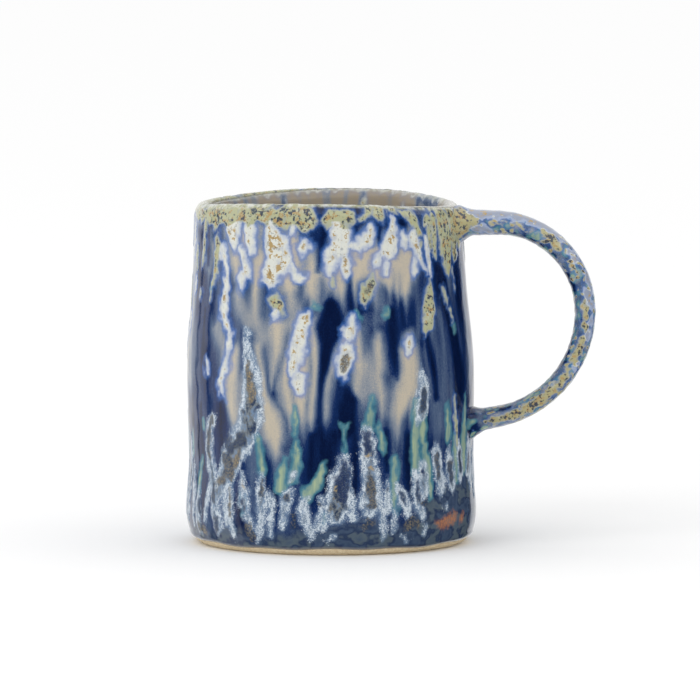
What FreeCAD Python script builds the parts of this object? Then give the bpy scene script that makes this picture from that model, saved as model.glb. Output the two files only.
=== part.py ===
"""Hand-built stoneware mug: a thrown wall, a floor disc seated in it, a strap handle luted on
with two clay joints, and three glaze coats: outside, liner and handle.

Millimetres, +Z up. The origin is the centre of the foot ring, on the surface the mug stands on.
The handle lies in the XZ plane on the +X side, and -Y is the front.
"""
import FreeCAD
import Part
import math
import os

Vector = FreeCAD.Vector

# The mug's wall. The lip is a gentle saddle, highest at the front.
HEIGHT = 105.0             # lip crest at the front, glaze included
LIP_DROP_SIDE = 2.4        # how much lower the lip is at the two sides
LIP_DROP_BACK = 0.9        # how much lower the lip is at the back
WAVE_START = 60.0          # the lip's wave dies out below this height
LEAN = 1.1                 # how far the lip's centre lies towards -X from the foot's centre
OVAL = 0.35                # added to the radius at the front and the back
WALL = 4.2                 # clay wall thickness at mid height
WAIST_RADIUS = 42.8        # clay radius at mid height
RING_POINTS = 32           # points that each ring of the skin is drawn through

# Foot and floor
FOOT_RADIUS = 38.4         # outer edge of the ring that the mug stands on
FLOOR_RADIUS = 33.0        # the floor disc sits in a round seat in the wall
FLOOR_THICK = 5.0
FOOT_RECESS = 1.2          # the floor's underside is this far above the foot ring

# Glaze
GLAZE = 0.5                # thickness of every coat
GLAZE_LINE = 1.6           # the outside is bare clay below this height

# Handle. Its centre line is a straight root, an upper quarter arc, a lower arc and a sloping tail.
HANDLE_REACH = 77.0        # the centre line's furthest X
HANDLE_TOP = 97.0          # the centre line's height at the root
UPPER_ARC = 26.5
LOWER_ARC = 32.6
LOWER_SWEEP = 79.0         # degrees that the lower arc turns through
ROOT_X = 37.2              # the centre line starts and ends in the middle of the wall
TAIL_X = 40.3
ARC_SECTIONS = 7           # sections along each arc
# The clay's oval section along the centre line: (share of the way, thickness, width)
SECTIONS = [(0.0, 6.8, 11.4), (0.25, 5.6, 10.0), (0.45, 5.2, 9.6), (0.8, 5.0, 9.4), (1.0, 5.8, 10.0)]

# Joints: smears of clay that flare from the handle's section onto the wall: (up, down, sideways)
UPPER_FLARE = (0.7, 2.9, 2.2)
LOWER_FLARE = (1.6, 1.6, 1.8)
JOINT_LENGTH = 4.4         # how far a joint reaches along the handle from the wall's skin
JOINT_EDGE = 0.3           # a joint's thickness at its outer edge
JOINT_SECTIONS = 5
UPPER_SKIN_X = 38.9        # the wall's skin where the handle meets it
LOWER_SKIN_X = 42.3

# The clay's outline outside, from the foot up: (height, radius)
OUTSIDE = [(0.0, FOOT_RADIUS), (0.6, 40.1), (GLAZE_LINE, 41.2), (4.2, 42.5), (9.0, 43.2), (17.0, 42.75),
           (27.0, 42.25), (38.0, 42.55), (50.0, WAIST_RADIUS), (62.0, 42.3), (72.0, 41.35), (84.0, 40.55),
           (94.0, 40.05), (100.0, 39.75)]
# The lip's clay outline from the outer wall to the crest, then on to the inner wall: (depth, radius)
LIP_OUTER = [(2.6, 39.5), (1.35, 39.0), (0.5, 38.4), (0.0, 37.6)]
LIP_INNER = [(0.5, 36.8), (1.6, 36.3), (4.2, 36.0)]
# The clay's outline inside, from the lip down to the floor's seat
INSIDE = [(93.0, 36.0), (84.0, 36.35), (72.0, 37.15), (62.0, 38.1), (50.0, WAIST_RADIUS - WALL),
          (38.0, 38.35), (27.0, 38.0), (17.0, 38.2), (12.0, 37.4), (8.6, 35.6), (6.4, 33.2)]

def smooth(share):
    share = min(max(share, 0.0), 1.0)
    return share * share * (3.0 - 2.0 * share)


def lip_wave(angle):
    """The lip's height compared with its height at the front."""
    slope = LIP_DROP_BACK / 2.0
    saddle = (LIP_DROP_SIDE - slope) / 2.0
    return -slope * (1.0 + math.sin(angle)) - saddle * (1.0 + math.cos(2.0 * angle))


def ring(height, radius):
    """A closed curve round the mug. height is as if the lip were level."""
    wave = smooth((height - WAVE_START) / (HEIGHT - WAVE_START))
    lean = -LEAN * (height / HEIGHT) ** 2
    points = []
    for i in range(RING_POINTS):
        angle = 2.0 * math.pi * i / RING_POINTS
        across = radius + OVAL * math.sin(angle) ** 2
        points.append(Vector(lean + across * math.cos(angle), across * math.sin(angle),
                             height + wave * lip_wave(angle)))
    curve = Part.BSplineCurve()
    curve.interpolate(Points=points, PeriodicFlag=True)
    return Part.Wire([curve.toShape()])


def solid_round(*runs):
    """A solid of smooth skins that meet at rings. The first and the last ring are level, and are
    closed by a disc each, or by one flat ring if they are at the same height."""
    faces = []
    for run in runs:
        faces += Part.makeLoft([ring(*station) for station in run], False, False).Faces
    first, last = runs[0][0], runs[-1][-1]
    ends = [Part.Face(ring(*first)), Part.Face(ring(*last))]
    if first[0] == last[0]:
        outer, inner = sorted(ends, key=lambda face: -face.Area)
        ends = outer.cut(inner).Faces
    shell = Part.makeShell(faces + ends)
    shell.sewShape()
    solid = Part.Solid(shell)
    if solid.Volume < 0:
        solid.reverse()
    return solid


def largest(shape):
    return max(shape.Solids, key=lambda solid: solid.Volume)


def clay_crest(depth):
    return HEIGHT - GLAZE - depth


def lip_stations(coat):
    """The lip's outer and inner stations under a coat of this thickness."""
    outer = [(clay_crest(d) + coat * (1.0 - d / 3.0), r + coat * d / 2.6) for d, r in LIP_OUTER]
    inner = [(clay_crest(d) + coat * (1.0 - d / 4.2), r - coat * min(1.0, d / 1.6)) for d, r in LIP_INNER]
    return outer, inner


def outside_stations(coat, lowest=0.0):
    return [(z, r + coat) for z, r in OUTSIDE if z >= lowest]


def inside_stations(coat):
    return [(z, r - coat) for z, r in INSIDE]


def middle_stations():
    """From the glaze's crest down the middle of the wall, where the outside coat ends and the
    liner starts."""
    outer, _ = lip_stations(GLAZE)
    inside_clay = [(z, r - WALL / 2.0) for z, r in OUTSIDE if z >= GLAZE_LINE]
    return [outer[-1], (clay_crest(1.4), LIP_OUTER[-1][1])] + inside_clay[::-1]


def make_wall():
    outer, inner = lip_stations(0.0)
    below_seat = [(4.8, 31.0), (0.0, 29.0)]
    cup = solid_round(outside_stations(0.0) + outer + inner + inside_stations(0.0) + below_seat)
    seat = Part.makeCylinder(FLOOR_RADIUS, FOOT_RECESS + FLOOR_THICK)
    return largest(cup.cut(seat))


def make_floor():
    return Part.makeCylinder(FLOOR_RADIUS, FLOOR_THICK, Vector(0, 0, FOOT_RECESS))


def make_outer_glaze(clay):
    outer, _ = lip_stations(GLAZE)
    skin = outside_stations(GLAZE, GLAZE_LINE) + outer
    return largest(solid_round(skin, middle_stations()).cut(clay))


def make_liner_glaze(clay, outer_glaze):
    outer, inner = lip_stations(GLAZE)
    floor_top = FOOT_RECESS + FLOOR_THICK + GLAZE
    skin = [outer[-1]] + inner + inside_stations(GLAZE)[:-1] + [(floor_top + 0.25, 33.4), (floor_top, 30.5)]
    return largest(solid_round(middle_stations()[::-1], skin).cut(clay).cut(outer_glaze))


def oval(x, z, turn, thick, wide):
    """An oval section of the handle. turn is the direction of its outer face, in the XZ plane."""
    across = Vector(0, 1, 0)
    out = Vector(math.cos(turn), 0, math.sin(turn))
    rotation = FreeCAD.Rotation(across, out, across.cross(out), "ZXY")
    edge = Part.Ellipse(Vector(0, 0, 0), wide / 2.0, thick / 2.0).toShape()
    edge.Placement = FreeCAD.Placement(Vector(x, 0, z), rotation)
    return Part.Wire([edge])


def handle_line():
    """(x, z, direction of the handle's outer face) along the centre line, from the root to the tail."""
    up, down = math.pi / 2.0, -math.radians(LOWER_SWEEP)
    upper_x, lower_x = HANDLE_REACH - UPPER_ARC, HANDLE_REACH - LOWER_ARC
    centre_z = HANDLE_TOP - UPPER_ARC
    line = [(ROOT_X + (upper_x - ROOT_X) * i / 3.0, HANDLE_TOP, up) for i in range(3)]
    for i in range(ARC_SECTIONS):
        turn = up * (1.0 - i / ARC_SECTIONS)
        line.append((upper_x + UPPER_ARC * math.cos(turn), centre_z + UPPER_ARC * math.sin(turn), turn))
    for i in range(ARC_SECTIONS + 1):
        turn = down * i / ARC_SECTIONS
        line.append((lower_x + LOWER_ARC * math.cos(turn), centre_z + LOWER_ARC * math.sin(turn), turn))
    arc_end_x, arc_end_z, _ = line[-1]
    line.append((TAIL_X, arc_end_z - (arc_end_x - TAIL_X) / math.tan(-down), down))
    return line


def section(share):
    """The clay's thickness and width at this share of the way along the handle."""
    for (s0, thick0, wide0), (s1, thick1, wide1) in zip(SECTIONS, SECTIONS[1:]):
        if share <= s1:
            blend = smooth((share - s0) / (s1 - s0))
            return thick0 + (thick1 - thick0) * blend, wide0 + (wide1 - wide0) * blend
    return SECTIONS[-1][1:]


def handle_solid(coat):
    line = handle_line()
    run = [0.0]
    for (x0, z0, _), (x1, z1, _) in zip(line, line[1:]):
        run.append(run[-1] + math.hypot(x1 - x0, z1 - z0))
    sections = []
    for (x, z, turn), travelled in zip(line, run):
        thick, wide = section(travelled / run[-1])
        sections.append(oval(x, z, turn, thick + 2.0 * coat, wide + 2.0 * coat))
    return Part.makeLoft(sections, True, False)


def joint_solid(start, along, skin_x, size, flare, coat):
    """A flared collar round one end of the handle, filled through. start is that end of the centre
    line, and along is the slope of the line there, in Z per X."""
    x0, z0, turn = start
    thick, wide = size
    up, down, sideways = flare
    sections = []
    for i in range(JOINT_SECTIONS + 1):
        share = (i - 1.0) / (JOINT_SECTIONS - 1.0)
        grow = (1.0 - max(share, 0.0)) ** 2.2
        x = skin_x + JOINT_LENGTH * share if i else x0
        z = z0 + (x - x0) * along + grow * (up - down) / 2.0
        sections.append(oval(x, z, turn, thick + grow * (up + down) + 2.0 * (JOINT_EDGE + coat),
                             wide + grow * 2.0 * sideways + 2.0 * (JOINT_EDGE + coat)))
    return Part.makeLoft(sections, True, False)


def both_joints(coat):
    line = handle_line()
    tail_slope = 1.0 / math.tan(math.radians(LOWER_SWEEP))
    return {
        "upper_joint": joint_solid(line[0], 0.0, UPPER_SKIN_X, section(0.0), UPPER_FLARE, coat),
        "lower_joint": joint_solid(line[-1], tail_slope, LOWER_SKIN_X, section(1.0), LOWER_FLARE, coat),
    }


def make_parts():
    parts = {"wall": make_wall(), "floor": make_floor()}
    clay = parts["wall"].fuse(parts["floor"])
    outer_glaze = make_outer_glaze(clay)
    parts["liner_glaze"] = make_liner_glaze(clay, outer_glaze)

    handle = handle_solid(0.0)
    joints = both_joints(0.0)
    parts["handle"] = largest(handle.cut(parts["wall"]))
    for name, joint in joints.items():
        parts[name] = largest(joint.cut(parts["wall"]).cut(handle))
    for clay_piece in (handle, *joints.values()):
        outer_glaze = outer_glaze.cut(clay_piece)
    parts["outer_glaze"] = largest(outer_glaze)

    coat = handle_solid(GLAZE)
    for joint in both_joints(GLAZE).values():
        coat = coat.fuse(joint)
    for inner in (parts["wall"], parts["outer_glaze"], handle, *joints.values()):
        coat = coat.cut(inner)
    parts["handle_glaze"] = largest(coat)
    return parts


def main():
    os.makedirs("parts", exist_ok=True)
    for name, shape in make_parts().items():
        print(f"{name}: {shape.Volume:.0f} mm3, valid {shape.isValid()}, {len(shape.Faces)} faces")
        shape.exportStep(f"parts/{name}.step")


if __name__ == "__main__":
    main()
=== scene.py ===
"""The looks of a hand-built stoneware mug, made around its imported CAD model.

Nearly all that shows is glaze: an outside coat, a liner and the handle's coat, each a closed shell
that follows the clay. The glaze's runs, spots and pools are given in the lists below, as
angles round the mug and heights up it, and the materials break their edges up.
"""
import math
import bpy
import numpy as np
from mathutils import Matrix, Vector
from mathutils.bvhtree import BVHTree


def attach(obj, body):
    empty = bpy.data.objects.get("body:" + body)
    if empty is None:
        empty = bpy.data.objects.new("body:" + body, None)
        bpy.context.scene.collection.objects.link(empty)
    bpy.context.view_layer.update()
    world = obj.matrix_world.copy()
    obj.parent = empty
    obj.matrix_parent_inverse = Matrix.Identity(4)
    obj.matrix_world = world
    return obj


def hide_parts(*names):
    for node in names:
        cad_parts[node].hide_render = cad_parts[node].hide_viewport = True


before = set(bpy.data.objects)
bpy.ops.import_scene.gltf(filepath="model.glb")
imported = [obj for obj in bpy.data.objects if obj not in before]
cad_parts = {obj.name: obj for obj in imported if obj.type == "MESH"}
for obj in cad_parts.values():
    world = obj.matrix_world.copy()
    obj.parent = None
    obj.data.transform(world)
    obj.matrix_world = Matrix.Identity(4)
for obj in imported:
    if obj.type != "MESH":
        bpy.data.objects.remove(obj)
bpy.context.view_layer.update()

# Camera and light
VIEW_AZIMUTH = 8.0          # degrees; the handle turns this much towards the viewer
VIEW_ELEVATION = 5.3
VIEW_DISTANCE = 3.0         # metres
VIEW_WIDTH = 0.2112         # metres seen across, at the mug's axis
AIM_RIGHT = 0.0056          # the view's centre, right of the mug's axis
AIM_HEIGHT = 0.0579
SENSOR = 36.0
FLOOR_RADIUS = 6.0          # metres
FLOOR_SIDES = 64
CARD_DISTANCE = 2.0         # metres
CARD_POSTS = 24

# Sizes, in millimetres
MM = 0.001
MUG_HEIGHT = 105.0
GLAZE = 0.5
CREAM_EXTRA, FROST_EXTRA = 0.22, 0.2    # how much thicker the outside coat is over these runs
SINK = 0.06                 # a coat's hidden side lies this far inside the clay
TURN = 270.0                # once round the body
COLUMNS = 470
BODY_ROWS = 180
BACK_ROWS = 14              # rows on the outside coat's hidden side
CREST_RADIUS = 37.6         # from the axis to the middle of the lip
LIP_PIVOT = 3.0             # the lip rounds over a point this far below its crest
LIP_ROWS = 14
LIP_DEPTH = 1.1             # the crest's paler colour ends this far below it
EDGE_HEIGHT = 1.85          # the outside coat's lower edge
EDGE_WAVE = 0.35
ROLL = 0.28                 # the thicker roll along that edge
LINER_CREST = 104.5         # the liner's lists take the whole crest to be this high
HUB_HEIGHT = 13.0           # on the axis, where the rays that find the floor fan out from
FLOOR_ROWS = 40
LINER_BACK_ROWS = 34
RAY_START = 130.0           # rays down onto the crest start at this height
RAY_FAR, LIP_RAY_FAR = 70.0, 20.0       # rays back onto the clay start this far out
OUTSIDE = -9.0              # a field's value well away from its runs

# Handle, as in the CAD: centre line, and the oval section under the glaze
HANDLE_REACH, HANDLE_TOP = 77.0, 97.0
UPPER_ARC, LOWER_ARC, LOWER_SWEEP = 26.5, 32.6, math.radians(79.0)
ROOT_X, TAIL_X = 37.2, 40.3
UPPER_X, LOWER_X, ARC_HEIGHT = HANDLE_REACH - UPPER_ARC, HANDLE_REACH - LOWER_ARC, HANDLE_TOP - UPPER_ARC
ROOT_LENGTH, UPPER_LENGTH = UPPER_X - ROOT_X, UPPER_ARC * math.pi / 2.0
LOWER_LENGTH = LOWER_ARC * LOWER_SWEEP
ARC_END = LOWER_ARC * math.cos(LOWER_SWEEP) + HANDLE_REACH - LOWER_ARC
TAIL_LENGTH = (ARC_END - TAIL_X) / math.sin(LOWER_SWEEP)
HANDLE_LENGTH = ROOT_LENGTH + UPPER_LENGTH + LOWER_LENGTH + TAIL_LENGTH
UPPER_SKIN_X, LOWER_SKIN_X = 38.9, 42.3
SECTIONS = [(0.0, 6.8, 11.4), (0.25, 5.6, 10.0), (0.45, 5.2, 9.6), (0.8, 5.0, 9.4), (1.0, 5.8, 10.0)]
UPPER_FLARE = (0.9, 3.1, 2.4)           # added outside, inside and to each side where it meets the wall
LOWER_FLARE = (1.6, 1.6, 1.8)
FLARE_LENGTH = 5.0
HANDLE_ROUND = 96
HANDLE_STEP = 0.33
HANDLE_START = 0.6          # the coat starts this far along the centre line
HALF_ROUND = 13.0           # from the handle's outer side round to its inner side

# Glaze runs: each is a line of (angle, height, half width). Angles are degrees from the front
# towards the handle, heights and widths are millimetres.
TAN = [
    [(-8, 95, 1.0), (-7.5, 90, 1.8), (-7, 87, 1.4)],
    [(-22.5, 89, 1.3), (-23.5, 84, 1.8), (-25, 78, 1.5), (-25, 74, 0.8)],
    [(-36, 88, 1.3), (-33.5, 83, 1.6)], [(-10.5, 84, 1.8), (-9, 80, 2.2)],
    [(1, 88, 1.2), (-1, 84, 2.3), (-1, 79, 1.8), (0, 77, 0.8)], [(6, 86, 1.0), (6, 83, 1.0)],
    [(12, 86, 1.3), (12.3, 81, 1.2)], [(21, 91.5, 2.6), (21, 87, 3.2), (19.5, 83, 2.3), (18.5, 80, 1.2)],
    [(33, 89.5, 3.0), (33, 86, 3.0), (32.5, 83, 2.2)],
    [(40, 92, 1.4), (41, 88, 2.8), (41, 84, 3.2), (40.5, 80, 2.3), (40.5, 77.5, 0.9)],
    [(-31, 93, 1.8)], [(26.5, 90, 1.8), (27, 85, 2.2), (27, 80, 1.0)], [(36.5, 87, 2.0), (36.5, 81, 1.2)],
    [(-14.5, 69, 2.4), (-14.5, 62, 1.9), (-15, 57, 1.2), (-15, 53, 0.5)],
    [(-23, 63, 1.0), (-21, 55, 1.2), (-19, 48, 2.0), (-17, 42, 3.3), (-16, 36, 3.3), (-15, 31, 1.5)],
    [(-34, 60, 1.4), (-35, 52, 1.9), (-36, 46, 2.2), (-35, 40, 1.5)],
    [(-7, 65, 0.8), (-9.5, 58, 1.3), (-10.5, 52, 1.6), (-10, 46, 1.8), (-9.5, 42, 1.0)],
    [(-4, 72, 1.5), (-3.5, 66, 3.0), (-4, 60, 3.2), (-4.5, 54, 3.4), (-4.5, 47, 2.4), (-4, 42, 1.2)],
    [(1, 70, 1.2), (1.8, 62, 1.6), (1.7, 55, 1.6), (1, 48, 1.6), (0, 43, 1.2)],
    [(11, 66, 1.2), (9, 61, 1.6), (7, 56, 1.8), (6, 51, 1.7), (5, 46.5, 1.3), (5, 43, 0.6)],
    [(14.8, 69, 2.2), (14.5, 65, 3.0)],
    [(18.3, 68, 1.2), (18.8, 62, 1.4), (18.7, 56, 1.2), (18.5, 50, 0.8), (18.3, 45, 0.4)],
    [(28, 66.5, 0.6), (27.5, 63, 1.4), (27, 58, 1.5), (26, 53, 1.2), (27.5, 48, 1.3), (28, 43, 0.7)],
    [(40.5, 65.5, 1.2), (40.5, 61, 2.9), (41, 56, 3.2), (40, 51, 3.0), (37.5, 47, 2.9), (35.8, 43, 2.0),
     (35, 39, 0.9)],
    [(44, 54, 1.4), (43, 49, 1.2), (41.5, 45, 0.7)],
    [(-78, 90, 1.8), (-78, 84, 1.6)], [(-86, 86, 2.4), (-87, 79, 1.8)],
    [(-74, 62, 0.9), (-75, 54, 1.8), (-76, 46, 1.2)],
    [(-85, 66, 1.6), (-87, 56, 2.6), (-86, 45, 1.4)],
]
NAVY = [
    [(8, 74, 2.5), (8, 69, 4.2), (6.5, 62, 2.4), (4.6, 54, 1.4), (3.5, 47, 0.8), (2.5, 41, 0.3)],
    [(4.5, 104, 1.0), (5, 98, 1.0), (3.5, 94, 1.2), (2.5, 89, 0.8), (1.5, 85, 0.3)],
    [(33, 72, 1.6), (34, 66, 1.0), (34.3, 59, 0.6), (34.3, 53, 0.2)],
    [(15, 50, 1.0), (15.5, 45, 3.0), (14.5, 38, 3.4)],
    [(9, 36, 1.8), (7.5, 30, 1.6), (6, 24, 1.4), (5, 18, 1.1), (5, 13.5, 0.7)],
    [(18, 36, 0.9), (17, 28, 1.1), (17.5, 20, 1.1), (17.3, 16, 0.6)],
    [(61, 84, 2.0), (62, 80, 2.6), (65, 73, 2.2), (68, 66, 2.6), (70, 58, 3.0), (71, 50, 3.0),
     (70, 44, 1.8)],
    [(40.5, 36, 1.2), (40.5, 28, 1.8), (41, 21, 1.2), (41.5, 17, 0.5)],
    [(19.5, 104, 0.7), (18.5, 99, 0.8), (19.5, 95, 0.6)],
    [(27.5, 99, 0.8), (27.5, 95, 0.8), (27.8, 93, 0.3)], [(40.3, 98.5, 1.6)],
    [(61, 100, 0.6), (61, 96, 0.8), (62, 92.5, 0.4)],
    [(-56, 99, 0.5), (-54.5, 94, 0.8), (-54, 88, 0.7), (-54.5, 84, 0.6)],
    [(16.3, 83, 0.5), (16.2, 78, 0.8), (16, 74, 0.8)],
    [(30, 104.3, 0.6), (38, 104.3, 0.9), (46, 103.8, 0.9)],
    [(-80, 74, 1.8), (-80, 66, 1.3), (-80.5, 56, 0.8)], [(-72, 42, 1.2), (-76, 37, 2.2), (-74, 28, 1.2)],
    [(-90, 71, 1.4), (-90, 62, 0.9)],
    [(0, 36, 1.0), (-1, 30, 1.2), (-1, 24, 1.0)], [(30.5, 38, 0.8), (30.5, 32, 1.4), (31, 26, 0.8)],
    [(-60, 37, 0.8), (-60, 28, 1.0)], [(-56, 44, 1.0), (-57, 34, 1.2), (-56, 24, 1.0)],
    [(-66, 44, 1.0), (-66, 30, 1.2)], [(-55, 70, 0.8), (-54, 58, 0.8)],
    [(51, 66, 1.0), (53, 56, 1.4), (55, 46, 1.4)],
]
DUSK = [
    [(28, 76, 2.0), (31, 73, 2.5), (26, 70, 1.5)], [(22.5, 71, 1.4), (23, 63, 1.0), (22.5, 55, 0.6)],
    [(-20, 74, 1.4), (-20, 67, 1.0), (-17.5, 60, 0.6)], [(-9.5, 73, 1.5), (-11, 66, 1.0)],
    [(59.5, 72, 1.3), (60, 60, 1.8), (59.5, 46, 1.8)], [(46.5, 82, 0.5), (46.3, 74, 0.7), (45.5, 66, 0.6)],
    [(-62, 60, 1.2), (-63, 52, 1.0)], [(82, 84, 2.0), (84, 70, 2.5), (82, 56, 2.8), (81, 46, 1.8)],
    [(-20, 66, 0.5), (-17, 57, 0.6), (-14.5, 50, 0.4)],
    [(-10.5, 66, 0.9), (-12.5, 57, 0.7), (-13, 50, 0.3)], [(52, 60, 3.0), (54, 48, 3.5), (56, 38, 3.0)],
    [(31, 36, 2.5), (32, 27, 1.5)], [(-12, 30, 2.0), (-14, 22, 1.5)], [(-25, 34, 1.5), (-25, 24, 1.3)],
    [(-2, 80, 0.5), (-6, 74, 2.0), (-8, 68, 1.0)],
]
HAZE = [
    [(-45, 68, 2.0), (-40, 60, 2.2), (-38, 50, 1.5)], [(-33, 76, 2.5), (-27, 70, 3.0), (-21, 66, 1.8)],
    [(-52, 92, 2.0), (-54, 84, 1.5)], [(-28, 93, 5.0), (-20, 88, 3.0)], [(8, 86, 4.0), (10, 82, 2.5)],
    [(27, 90, 2.5), (27, 84, 2.0)],
    [(-70, 92, 2.5), (-72, 80, 2.0), (-70, 66, 1.6), (-69, 50, 1.2)], [(-8, 75, 1.6), (-9, 69, 1.2)],
    [(36, 52, 2.4), (34, 44, 1.4)], [(22, 58, 1.6), (23, 49, 2.0)],
    [(-38, 90, 3.0), (-30, 88, 4.0), (-18, 86, 4.5), (-6, 87, 4.5), (6, 88, 4.0), (16, 88, 4.0),
     (27, 88, 4.0), (44, 88, 3.0)],
    [(-6, 93, 3.0), (-12, 95, 2.0)], [(-40, 96, 2.5), (-20, 96, 3.0), (-8, 96, 2.0)],
    [(9, 95, 2.0), (14, 96, 2.5), (24, 95, 2.5), (34, 95, 2.5), (46, 96, 2.5)],
    [(-66, 99, 2.0), (-72, 97, 2.0)], [(-28, 50, 2.0), (-30, 42, 2.0)], [(12.5, 64, 1.5), (11, 58, 1.5)],
    [(47, 92, 1.5), (47, 86, 1.5)],
]
TEAL = [
    [(-7.5, 45, 0.4), (-7.5, 41, 0.8), (-7, 36, 0.3)], [(-6.5, 34, 0.4), (-6.5, 28, 0.9), (-8, 22, 1.3)],
    [(-10, 29, 0.2), (-12, 24, 1.2), (-12.5, 20, 1.4)],
    [(5, 28, 0.4), (4, 25, 1.1), (1.5, 21, 1.2), (-2, 19, 1.6)],
    [(-22.5, 36, 0.4), (-21.5, 30, 0.8), (-21, 24, 0.9)], [(-54, 39, 0.6), (-54, 36, 0.5)],
    [(-57, 28, 0.2), (-58.5, 23, 0.8), (-59, 17, 1.0)],
    [(11.7, 40.8, 0.1), (12.4, 39.6, 0.2), (14.8, 39.6, 0.2), (15.7, 40.8, 0.1)],
    [(13.5, 39, 0.4), (13.5, 36, 0.15), (13.3, 32, 0.2)], [(24, 47, 0.3), (23.5, 42, 0.9), (23.5, 38, 1.2)],
    [(27, 39, 0.3), (28.5, 35, 0.7), (29, 31, 0.5)],
    [(34, 29, 0.7), (34.5, 26, 1.0), (34.5, 20, 0.8), (34.5, 13, 0.7)],
    [(44, 46, 0.7), (44.2, 40, 1.2), (44.4, 34, 1.2), (44.4, 28, 1.6), (44, 24, 1.1)],
    [(47, 42, 1.2), (47.5, 37, 1.3), (48, 33, 0.7)],
    [(49, 34, 0.9), (49.6, 28, 1.5), (50.6, 22, 1.3), (51, 17, 0.8)],
    [(61.5, 44, 0.6), (62, 40, 1.1), (63, 34, 1.0)], [(67.5, 34, 1.3), (68, 27, 1.5), (68.5, 21, 1.0)],
    [(76.5, 46, 0.5), (77, 38, 1.3), (76.5, 30, 1.4), (76.5, 22, 1.0)],
    [(-67, 34, 0.3), (-67, 27, 0.7)], [(-80.5, 36, 0.4), (-80, 28, 0.9), (-80, 21, 0.8)],
    [(-88, 36, 0.3), (-87.5, 30, 0.8)],
    [(18.5, 72.4, 0.3), (20, 71, 0.3)], [(30.5, 73, 0.6), (31, 72, 0.5)], [(1, 75.2, 0.5), (3, 74.6, 0.4)],
    [(-29, 17.5, 0.5), (-29, 12, 0.5)], [(5, 13, 0.6), (5, 11.5, 0.4)], [(-50, 80, 0.6), (-50.5, 78, 0.6)],
    [(69, 68, 0.6), (69.5, 66, 0.4)],
]
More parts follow.
